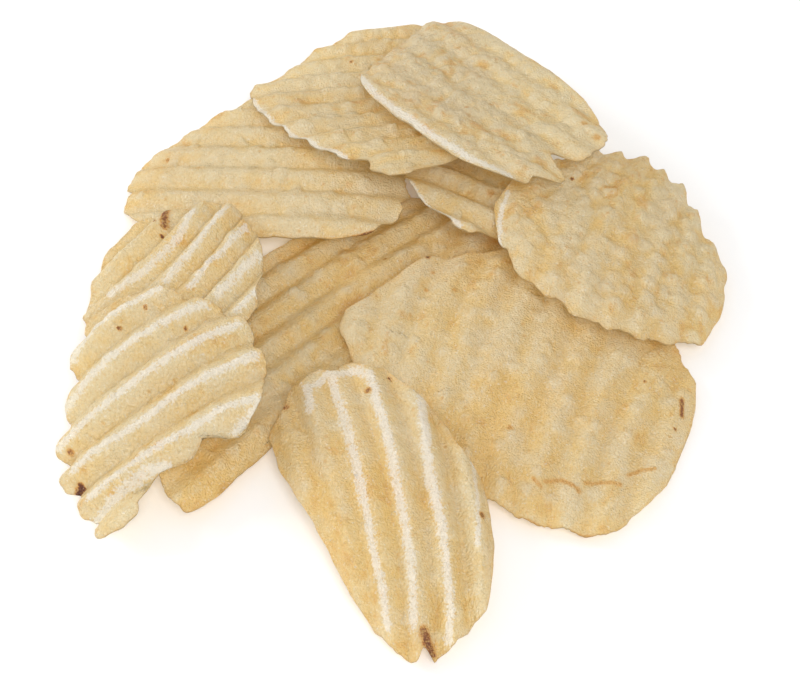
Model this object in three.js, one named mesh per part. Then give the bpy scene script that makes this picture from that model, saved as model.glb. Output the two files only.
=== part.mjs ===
// A heap of ten ridge-cut potato crisps, lying loosely on each other on a flat surface.
//
// Units are millimetres and +Z is up. The origin is at the bottom centre of the heap.
//
// A crisp is a thin slice whose two faces carry the same ridges, one face straight above the other.
// Three numbers place a point of a slice:
//   along   follows the ridges,
//   line    counts from ridge to ridge, so a ridge's crest lies on one constant line,
//   lift    is the height out of the slice.
// The slice is bent a little both ways, then tilted, turned and laid in the heap.

import * as THREE from "three";

// ------------------------------------------------------------------ sizes that all crisps share

const THICKNESS = 1.35; // through the slice, ridge or valley
const CREST_SHARPNESS = 0.18; // how much narrower a crest is than a valley

// How finely the faces are cut into cells.
const LINES_PER_RIDGE = 4;
const CELLS_ALONG = 8;
const OUTLINE_STEPS_PER_POINT = 12;
const TIP_TRIM = 0.25; // the outermost lines stop this short of the outline's tips
const LEAST_LINE_SPACING = 0.6;

// ------------------------------------------------------------------ the crisps, lowest first

// place       where the slice's reference point lies, and its tilt about X and Y and turn about Z,
//             in degrees
// bend        curvature along the ridges, across them and in twist, in 1/mm
// bow, fan    how the ridges curve within the slice, in 1/mm, and spread apart, in 1/mm
// height      of the ridges over the mid-surface at the first ridge and at the last one
// pitch       from crest to crest
// firstTip    line of the edge before the first ridge, and where it starts and ends along the ridges
// firstRidge  line of the first crest
// ridges      near and far end of each crest, in order
// lastTip     as firstTip, past the last ridge
// scallop     how far a crest stands out past a valley at its near end and at its far end
// nicks       breaks in the far edge: the line, the depth and half the width
const CRISPS = [
  {
    name: "crisp_long",
    place: { position: [-18.55, -13.3, 2.1], tilt: [-0.7, 1.7], turn: 45.4 },
    bend: { along: 0.002, across: -0.006, twist: 0.001 },
    bow: -0.004,
    fan: -0.002,
    height: [0.75, 0.75],
    pitch: 5.55,
    firstTip: [-10.2, -32.5, 10],
    firstRidge: -7.8,
    ridges: [[-34.1, 40], [-32.4, 45], [-25, 46], [-16.5, 43], [-7, 37.5]],
    lastTip: [18.6, 1, 32],
    scallop: [0, 0],
    nicks: [],
  },
  {
    name: "crisp_back_left",
    place: { position: [-25.45, 26.3, 4.45], tilt: [-5.9, -4], turn: -7.3 },
    bend: { along: -0.004, across: -0.003, twist: -0.0015 },
    bow: 0.004,
    fan: 0.002,
    height: [0.7, 0.7],
    pitch: 6.2,
    firstTip: [-16.5, -14, 19],
    firstRidge: -14.6,
    ridges: [[-21.8, 23], [-23.8, 26], [-24, 25.5], [-21.2, 23.5], [-16.4, 19], [-12, 10.5]],
    lastTip: [22.6, -6, -2],
    scallop: [-1.3, -0.6],
    nicks: [],
  },
  {
    name: "crisp_broad",
    place: { position: [19.15, -25.1, 3.9], tilt: [3.2, 3.1], turn: 71.2 },
    bend: { along: -0.003, across: -0.003, twist: 0.0015 },
    bow: -0.006,
    fan: 0.003,
    height: [0.55, 0.55],
    pitch: 5.911,
    firstTip: [-24.9, -5, 5],
    firstRidge: -22.5,
    ridges: [
      [-12.2, 13.9], [-19.8, 20.5], [-20.7, 26], [-21.3, 28.5], [-19.5, 29.5],
      [-18.8, 30], [-15.8, 29.8], [-12.3, 25.7], [-8, 22], [0.4, 10],
    ],
    lastTip: [33, 3.5, 7.5],
    scallop: [0, 0],
    nicks: [{ line: 20.9, depth: 0.9, halfWidth: 1.2 }],
  },
  {
    name: "crisp_upper_left",
    place: { position: [-38.95, 0.9, 7.45], tilt: [3.2, -13.9], turn: 50.5 },
    bend: { along: -0.01, across: -0.004, twist: 0 },
    bow: 0.024,
    fan: -0.002,
    height: [1.05, 1.05],
    pitch: 5.14,
    firstTip: [-18.5, -6, 1],
    firstRidge: -17,
    ridges: [[-10, 3.9], [-14.5, 11.2], [-17.4, 13], [-18.3, 14.8], [-16.5, 13.1], [-10.4, 8.2]],
    lastTip: [12.2, -6, 5],
    scallop: [-0.6, -1],
    nicks: [{ line: -14.3, depth: 1.2, halfWidth: 1 }],
  },
  {
    name: "crisp_left",
    place: { position: [-38.35, -30.5, 9.3], tilt: [10.4, -14.2], turn: 31.1 },
    bend: { along: -0.012, across: -0.004, twist: 0.002 },
    bow: -0.001,
    fan: 0.006,
    height: [1.15, 1.15],
    pitch: 6.46,
    firstTip: [-15, -15.8, -11],
    firstRidge: -13.7,
    ridges: [[-17, -9.3], [-17.8, 14.3], [-18, 17.3], [-15.8, 17.8], [-11.3, 14.3], [-7.2, 9.7]],
    lastTip: [22.6, -3.5, 4],
    scallop: [-1.4, -0.9],
    nicks: [],
  },
  {
    name: "crisp_front",
    place: { position: [-3.45, -48.3, 6], tilt: [9.7, -3.7], turn: -80 },
    bend: { along: -0.004, across: -0.02, twist: 0 },
    bow: -0.006,
    fan: -0.003,
    height: [0.9, 0.9],
    pitch: 4.82,
    firstTip: [-13.9, -17, -11.5],
    firstRidge: -11.2,
    ridges: [[-21.5, -3.2], [-27, 12.5], [-27.2, 20], [-26.8, 23.3], [-21.6, 21.3], [-10, 16.5]],
    lastTip: [15.4, -3, 8],
    scallop: [-1.6, 0.2],
    nicks: [{ line: 3.3, depth: 2.5, halfWidth: 1 }],
  },
  {
    name: "crisp_small",
    place: { position: [8.95, 15.5, 8.4], tilt: [-9, 9.2], turn: -27.3 },
    bend: { along: -0.006, across: 0.008, twist: 0 },
    bow: -0.006,
    fan: 0.001,
    height: [0.75, 0.75],
    pitch: 6.167,
    firstTip: [-9, 3, 5.5],
    firstRidge: -8,
    ridges: [[1.9, 6.8], [-9, 13.5], [-12, 14], [-9.5, 10]],
    lastTip: [15, -4, 4],
    scallop: [0.2, 0.12],
    nicks: [],
  },
  {
    name: "crisp_round",
    place: { position: [34.25, 4.3, 8.35], tilt: [3, 12.2], turn: 70.3 },
    bend: { along: -0.003, across: -0.008, twist: 0.001 },
    bow: -0.008,
    fan: -0.006,
    height: [0.45, 0.45],
    pitch: 4.929,
    firstTip: [-20.3, -5, 7],
    firstRidge: -17.2,
    ridges: [
      [-11.6, 9.8], [-14.6, 15.8], [-16.4, 20.2], [-17, 22.1],
      [-17.2, 23.5], [-15.5, 21.8], [-13.2, 20.5], [-6.8, 13],
    ],
    lastTip: [20.6, -1, 8],
    scallop: [0.5, 1.6],
    nicks: [],
  },
  {
    name: "crisp_rear",
    place: { position: [-6.85, 43.7, 6.35], tilt: [-12.4, -0.3], turn: 11.3 },
    bend: { along: -0.004, across: 0.004, twist: 0 },
    bow: 0.009,
    fan: 0,
    height: [0.25, 0.6],
    pitch: 5.3,
    firstTip: [-31, -2, 0.5],
    firstRidge: -30,
    ridges: [
      [-3.5, 2.5], [-5.6, 15], [-10.9, 19], [-14.3, 22], [-17.4, 24], [-20, 25],
      [-21.2, 25.5], [-20.7, 25], [-12.3, 24.5], [-8, 22], [0.5, 14],
    ],
    lastTip: [24.2, 3, 12],
    scallop: [-0.9, 0],
    nicks: [],
  },
  {
    name: "crisp_top",
    place: { position: [12.95, 34.2, 12.65], tilt: [-9.8, 2], turn: -50.9 },
    bend: { along: -0.006, across: 0.006, twist: 0.001 },
    bow: 0.008,
    fan: -0.001,
    height: [0.3, 0.3],
    pitch: 5.725,
    firstTip: [-14.6, -10, 10],
    firstRidge: -12.8,
    ridges: [[-20, 16.3], [-24, 24.4], [-27, 22.5], [-29, 21.8], [-31.6, 20.2]],
    lastTip: [15.6, -26, 9],
    scallop: [0, 0],
    nicks: [
      { line: -8, depth: 3, halfWidth: 1.4 },
      { line: -0.8, depth: 4.8, halfWidth: 1.9 },
    ],
  },
];

// ------------------------------------------------------------------ the slice's outline

// Closed curve through the far ends of all ridges and back through the near ends.
// Its x is the place along the ridges and its y is the line.
function outlinePoints(crisp) {
  const rows = [
    crisp.firstTip,
    ...crisp.ridges.map(([near, far], index) => [crisp.firstRidge + index * crisp.pitch, near, far]),
    crisp.lastTip,
  ];
  const farSide = rows.map(([line, , far]) => new THREE.Vector3(far, line, 0));
  const nearSide = rows.map(([line, near]) => new THREE.Vector3(near, line, 0)).reverse();
  const corners = [...farSide, ...nearSide];
  const curve = new THREE.CatmullRomCurve3(corners, true, "centripetal");
  return curve.getPoints(corners.length * OUTLINE_STEPS_PER_POINT);
}

// Height wave of the ridges: 1 on a crest and -1 in a valley.
function ridgeWave(crisp, line) {
  return Math.cos((2 * Math.PI * (line - crisp.firstRidge)) / crisp.pitch);
}

// Where the slice starts and ends along one line.
function lineEnds(crisp, outline, line) {
  let near = Infinity;
  let far = -Infinity;
  for (let i = 1; i < outline.length; i += 1) {
    const a = outline[i - 1];
    const b = outline[i];
    if ((a.y - line) * (b.y - line) > 0 || a.y === b.y) {
      continue;
    }
    const along = a.x + ((line - a.y) / (b.y - a.y)) * (b.x - a.x);
    near = Math.min(near, along);
    far = Math.max(far, along);
  }
  const [nearScallop, farScallop] = crisp.scallop;
  const wave = ridgeWave(crisp, line);
  near -= 0.5 * nearScallop * wave;
  far += 0.5 * farScallop * wave;
  for (const nick of crisp.nicks) {
    far -= nick.depth * Math.exp(-(((line - nick.line) / nick.halfWidth) ** 2));
  }
  return [near, far];
}

// The lines that carry mesh points: evenly spaced from the first crest, with one at each tip.
function meshLines(crisp, outline) {
  const heights = outline.map((point) => point.y);
  const first = Math.min(...heights) + TIP_TRIM;
  const last = Math.max(...heights) - TIP_TRIM;
  const spacing = crisp.pitch / LINES_PER_RIDGE;
  const lines = [first];
  const firstStep = Math.ceil((first + LEAST_LINE_SPACING - crisp.firstRidge) / spacing);
  for (let step = firstStep; crisp.firstRidge + step * spacing < last - LEAST_LINE_SPACING; step += 1) {
    lines.push(crisp.firstRidge + step * spacing);
  }
  lines.push(last);
  return lines;
}

// ------------------------------------------------------------------ the slice's surface

// Height of the ridged surface over the slice's smooth mid-surface.
function ridgeHeight(crisp, line) {
  const [atFirst, atLast] = crisp.height;
  const reach = crisp.lastTip[0] - crisp.firstTip[0];
  const share = THREE.MathUtils.clamp((line - crisp.firstTip[0]) / reach, 0, 1);
  const wave = ridgeWave(crisp, line);
  const shaped = wave + CREST_SHARPNESS * (wave ** 2 - 0.5);
  return THREE.MathUtils.lerp(atFirst, atLast, share) * shaped;
}

// A point of the bent slice, lifted out of its mid-surface.
function slicePoint(crisp, along, line, lift) {
  const { along: bendAlong, across: bendAcross, twist } = crisp.bend;
  const across = line + 0.5 * crisp.bow * along ** 2 + crisp.fan * along * line;
  const height = 0.5 * bendAlong * along ** 2 + 0.5 * bendAcross * across ** 2 + twist * along * across;
  const slopeAlong = bendAlong * along + twist * across;
  const slopeAcross = bendAcross * across + twist * along;
  const normal = new THREE.Vector3(-slopeAlong, -slopeAcross, 1).normalize();
  return new THREE.Vector3(along, across, height).addScaledVector(normal, lift);
}

// Closed surface of one slice: a grid on each face, joined by a rim.
function sliceGeometry(crisp) {
  const outline = outlinePoints(crisp);
  const lines = meshLines(crisp, outline);
  const columns = CELLS_ALONG + 1;
  const positions = [];
  for (const side of [1, -1]) {
    for (const line of lines) {
      const [near, far] = lineEnds(crisp, outline, line);
      const lift = ridgeHeight(crisp, line) + (side * THICKNESS) / 2;
      for (let column = 0; column < columns; column += 1) {
        const along = THREE.MathUtils.lerp(near, far, column / CELLS_ALONG);
        positions.push(...slicePoint(crisp, along, line, lift).toArray());
      }
    }
  }

  const under = lines.length * columns;
  const at = (row, column) => row * columns + column;
  const indices = [];
  const addTriangle = (a, b, c) => indices.push(a, b, c);
  const addQuad = (a, b, c, d) => {
    addTriangle(a, b, c);
    addTriangle(a, c, d);
  };
  for (let row = 0; row + 1 < lines.length; row += 1) {
    for (let column = 0; column < CELLS_ALONG; column += 1) {
      const a = at(row, column);
      const b = at(row, column + 1);
      const c = at(row + 1, column + 1);
      const d = at(row + 1, column);
      addQuad(a, b, c, d);
      addTriangle(under + a, under + c, under + b);
      addTriangle(under + a, under + d, under + c);
    }
  }

  const rim = [];
  for (let column = 0; column < CELLS_ALONG; column += 1) {
    rim.push(at(0, column));
  }
  for (let row = 0; row + 1 < lines.length; row += 1) {
    rim.push(at(row, CELLS_ALONG));
  }
  for (let column = CELLS_ALONG; column > 0; column -= 1) {
    rim.push(at(lines.length - 1, column));
  }
  for (let row = lines.length - 1; row > 0; row -= 1) {
    rim.push(at(row, 0));
  }
  rim.forEach((start, index) => {
    const end = rim[(index + 1) % rim.length];
    addQuad(under + start, under + end, end, start);
  });

  const geometry = new THREE.BufferGeometry();
  geometry.setAttribute("position", new THREE.Float32BufferAttribute(positions, 3));
  geometry.setIndex(indices);
  geometry.computeVertexNormals();
  return geometry;
}

// ------------------------------------------------------------------ the heap

function friedPotato() {
  return new THREE.MeshStandardMaterial({ color: 0xe6cf98, roughness: 0.55, metalness: 0 });
}

function makeCrisp(crisp) {
  const mesh = new THREE.Mesh(sliceGeometry(crisp), friedPotato());
  mesh.name = crisp.name;
  mesh.position.set(...crisp.place.position);
  const [tiltX, tiltY] = crisp.place.tilt;
  mesh.rotation.set(
    THREE.MathUtils.degToRad(tiltX),
    THREE.MathUtils.degToRad(tiltY),
    THREE.MathUtils.degToRad(crisp.place.turn),
  );
  return mesh;
}

function makeHeap() {
  const heap = new THREE.Group();
  CRISPS.forEach((crisp) => heap.add(makeCrisp(crisp)));
  const box = new THREE.Box3().setFromObject(heap, true);
  const centre = box.getCenter(new THREE.Vector3());
  heap.position.set(-centre.x, -centre.y, -box.min.z);
  heap.updateMatrixWorld(true);
  return heap;
}

const heap = makeHeap();

export default heap;
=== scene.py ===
"""The dressed heap of ridge-cut potato crisps: fine slices, their fried finish, the floor and the lights.

Slices are worked out in millimetres, in the same three numbers as the solids: along the ridges, the line
across them, and the lift out of the slice. Everything that is placed in the scene is in metres, +Z up.
"""

import logging
import math
from dataclasses import dataclass, field
from enum import Enum
from functools import partial
from types import SimpleNamespace

import bpy
import numpy as np
from mathutils import Euler, Matrix, Vector


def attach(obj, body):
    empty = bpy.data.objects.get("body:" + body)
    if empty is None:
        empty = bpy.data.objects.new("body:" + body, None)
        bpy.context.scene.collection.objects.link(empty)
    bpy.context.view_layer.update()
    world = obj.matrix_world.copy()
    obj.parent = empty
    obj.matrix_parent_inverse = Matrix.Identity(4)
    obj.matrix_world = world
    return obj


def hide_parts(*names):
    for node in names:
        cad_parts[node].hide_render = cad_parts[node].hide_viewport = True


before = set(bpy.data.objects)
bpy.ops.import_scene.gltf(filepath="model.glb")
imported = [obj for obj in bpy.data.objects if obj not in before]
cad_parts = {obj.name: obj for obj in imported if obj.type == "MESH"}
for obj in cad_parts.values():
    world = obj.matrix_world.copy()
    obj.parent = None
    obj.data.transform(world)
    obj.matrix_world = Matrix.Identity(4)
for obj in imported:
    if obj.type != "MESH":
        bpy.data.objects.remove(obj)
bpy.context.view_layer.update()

MM = 0.001
ROOT_BODY = "root"
# The values carried to the finish; the last holds the marks of painted highlight on lit crests and rims.
CARRIED = ("Gold", "Blotch", "Edge", "Browned", "Highlight_paint")

Pair = tuple[float, float]
Triple = tuple[float, float, float]
Colour = Triple

THICKNESS = 1.35
TINY = 1e-12
FAR_OFF = 1e9

log = logging.getLogger("crisps")


# ------------------------------------------------------------ node graphs


@dataclass(frozen=True)
class Field:
    """A value that a node tree works out for each point, which can be used like a number in a formula."""

    graph: "Graph"
    socket: bpy.types.NodeSocket

    def __add__(self, other: "Value") -> "Field":
        """The sum."""
        return self.graph.math("ADD", self, other)

    def __sub__(self, other: "Value") -> "Field":
        """The difference."""
        return self.graph.math("SUBTRACT", self, other)

    def __rsub__(self, other: "Value") -> "Field":
        """The difference, taken from a number."""
        return self.graph.math("SUBTRACT", other, self)

    def __mul__(self, other: "Value") -> "Field":
        """The product."""
        return self.graph.math("MULTIPLY", self, other)

    def __truediv__(self, other: "Value") -> "Field":
        """The quotient."""
        return self.graph.math("DIVIDE", self, other)

    def __neg__(self) -> "Field":
        """The value with its sign changed."""
        return self.graph.math("MULTIPLY", self, -1.0)

    def squared(self) -> "Field":
        """The value times itself."""
        return self.graph.math("MULTIPLY", self, self)

    def root(self) -> "Field":
        """The square root."""
        return self.graph.math("SQRT", self)

    def cosine(self) -> "Field":
        """The cosine of an angle in radians."""
        return self.graph.math("COSINE", self)

    def step_up(self, low: float, high: float) -> "Field":
        """A smooth rise from 0 at low to 1 at high.

        Args:
            low: the value at which the rise starts.
            high: the value at which it ends, which may be the smaller one for a fall.

        Returns:
            The share of the rise, from 0 to 1.
        """
        feeds = {"Value": self, "From Min": low, "From Max": high}
        return self.graph.field("ShaderNodeMapRange", feeds, interpolation_type="SMOOTHSTEP")


Value = Field | float
Feeds = dict[str | int, object]


class Graph:
    """Adds nodes to one tree, so that a formula over a surface reads as a formula."""

    def __init__(self, tree: bpy.types.NodeTree) -> None:
        """Keeps the tree that the nodes go into."""
        self.tree = tree

    def node(self, kind: str, feeds: Feeds | None = None, **settings: object) -> bpy.types.Node:
        """Adds one node.

        Args:
            kind: Blender's name for the kind of node.
            feeds: what goes into its inputs, by their names or numbers.
            settings: the node's own options, set by name.

        Returns:
            The new node.
        """
        made = self.tree.nodes.new(kind)
        for name, value in settings.items():
            setattr(made, name, value)
        for key, value in (feeds or {}).items():
            self.feed(made.inputs[key], value)
        return made

    def field(self, kind: str, feeds: Feeds, **settings: object) -> Field:
        """The first output of a new node."""
        return Field(self, self.node(kind, feeds, **settings).outputs[0])

    def feed(self, socket: bpy.types.NodeSocket, value: object) -> None:
        """Links a field to a socket, or sets the socket to a constant."""
        if isinstance(value, Field):
            self.tree.links.new(value.socket, socket)
        elif isinstance(value, bpy.types.NodeSocket):
            self.tree.links.new(value, socket)
        else:
            socket.default_value = value

    def math(self, operation: str, a: Value, b: Value = 0.0) -> Field:
        """One arithmetic step on two values."""
        return self.field("ShaderNodeMath", {0: a, 1: b}, operation=operation)

    def vector(self, x: Value, y: Value, z: Value) -> Field:
        """A vector put together from three values."""
        return self.field("ShaderNodeCombineXYZ", {0: x, 1: y, 2: z})

    def noise(self, at: Field, size: float, detail: float = 2.0, rough: float = 0.5) -> Field:
        """Soft random variation around zero.

        Args:
            at: where the variation is read.
            size: how large one swell is, in the units of `at`.
            detail: how many finer layers lie on it.
            rough: how strong the finer layers are.

        Returns:
            A value between about -0.5 and 0.5.
        """
        feeds = {"Vector": at, "Scale": 1.0 / size, "Detail": detail, "Roughness": rough}
        return self.field("ShaderNodeTexNoise", feeds, noise_dimensions="3D") - 0.5

    def cells(self, at: Field, size: float) -> bpy.types.Node:
        """Scattered points in a plane, with the distance to the nearest one and its own random colour.

        Args:
            at: where the pattern is read.
            size: how far apart the points are.

        Returns:
            The node, whose outputs are read by name.
        """
        feeds = {"Vector": at, "Scale": 1.0 / size}
        return self.node("ShaderNodeTexVoronoi", feeds, voronoi_dimensions="2D", feature="F1")

    def first_of(self, colour: bpy.types.NodeSocket) -> Field:
        """The first part of a colour or vector."""
        return self.field("ShaderNodeSeparateXYZ", {0: colour})


def add_socket(tree: bpy.types.NodeTree, name: str, way: str, kind: str, value: object = None) -> str:
    """Adds a named input or output to a tree.

    Args:
        tree: the tree that gets it.
        name: what it is called.
        way: INPUT or OUTPUT.
        kind: Blender's name for the kind of socket.
        value: what an input holds until it is set.

    Returns:
        The identifier of the new socket.
    """
    made = tree.interface.new_socket(name=name, in_out=way, socket_type=kind)
    if value is not None:
        made.default_value = value
    return made.identifier


def add_object(name: str, data: bpy.types.ID) -> bpy.types.Object:
    """Puts a new object, such as a mesh, a light or the camera, into the scene."""
    made = bpy.data.objects.new(name, data)
    bpy.context.scene.collection.objects.link(made)
    return made


# ------------------------------------------------------------ the slices


@dataclass(frozen=True)
class Bend:
    """How a slice is bent out of its plane, as curvatures in 1/mm."""

    along: float
    across: float
    twist: float


@dataclass(frozen=True)
class Nick:
    """A break in a slice's far edge, in mm."""

    line: float
    depth: float
    half_width: float


class Tone(Enum):
    """How far a mark on a slice is browned, or whether it is a painted highlight on a lit crest or rim
    instead.
    """

    PAINTED_HIGHLIGHT = -1.0
    GOLDEN = 0.3
    BROWN = 0.62
    BURNT = 1.0


@dataclass(frozen=True)
class Mark:
    """A spot or streak of one tone, through one or more places (along, line), in mm."""

    tone: Tone
    reach: float
    places: tuple[Pair, ...]


def marked(tone: Tone, reach: float, *places: Pair) -> Mark:
    """A mark of one tone through the places in order."""
    return Mark(tone, reach, places)


golden = partial(marked, Tone.GOLDEN)
brown = partial(marked, Tone.BROWN)
burnt = partial(marked, Tone.BURNT)
# Painted highlight: white marks along the lit flanks of crests and along lit rims, standing in for the
# shine of the lamp from behind on the left.
painted_highlight = partial(marked, Tone.PAINTED_HIGHLIGHT)


@dataclass(frozen=True)
class Lump:
    """A blister that swells out of a slice's upper face, in mm, with a dip in it if it is hollow."""

    place: Pair
    reach: float
    height: float
    hollow: float = 0.0


@dataclass(frozen=True)
class Patch:
    """A soft area of a slice that is fried more golden, or less so if its amount is negative, in mm."""

    place: Pair
    reach: float
    amount: float


@dataclass(frozen=True)
class Pull:
    """A stretch of a slice's sheet that is dragged aside within its plane, as beside a tear, in mm."""

    place: Pair
    move: Pair
    reach: Pair


@dataclass(frozen=True)
class Slice:
    """One crisp: where it lies, how it is bent, and where its ridges start and end, in mm and degrees."""

    node: str
    position: Triple
    tilt: Pair
    turn: float
    bend: Bend
    bow: float
    fan: float
    height: Pair
    pitch: float
    first_tip: Triple
    first_ridge: float
    ridges: tuple[Pair, ...]
    last_tip: Triple
    seed: float
    scallop: Pair = (0.0, 0.0)
    scallop_shift: float = 0.0
    patches: tuple[Patch, ...] = ()
    nicks: tuple[Nick, ...] = ()
    marks: tuple[Mark, ...] = ()
    lumps: tuple[Lump, ...] = ()
    pulls: tuple[Pull, ...] = ()
    blistering: float = 0.5
    goldness: float = 0.5
    crease: float = 0.25

    def matrix(self) -> Matrix:
        """The slice's place in the heap, from slice millimetres to metres."""
        spin = Euler((0.0, 0.0, math.radians(self.turn))).to_matrix()
        lean_y = Euler((0.0, math.radians(self.tilt[1]), 0.0)).to_matrix()
        lean_x = Euler((math.radians(self.tilt[0]), 0.0, 0.0)).to_matrix()
        turned = (lean_x @ lean_y @ spin).to_4x4()
        return Matrix.Scale(MM, 4) @ Matrix.Translation(Vector(self.position)) @ turned


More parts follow.
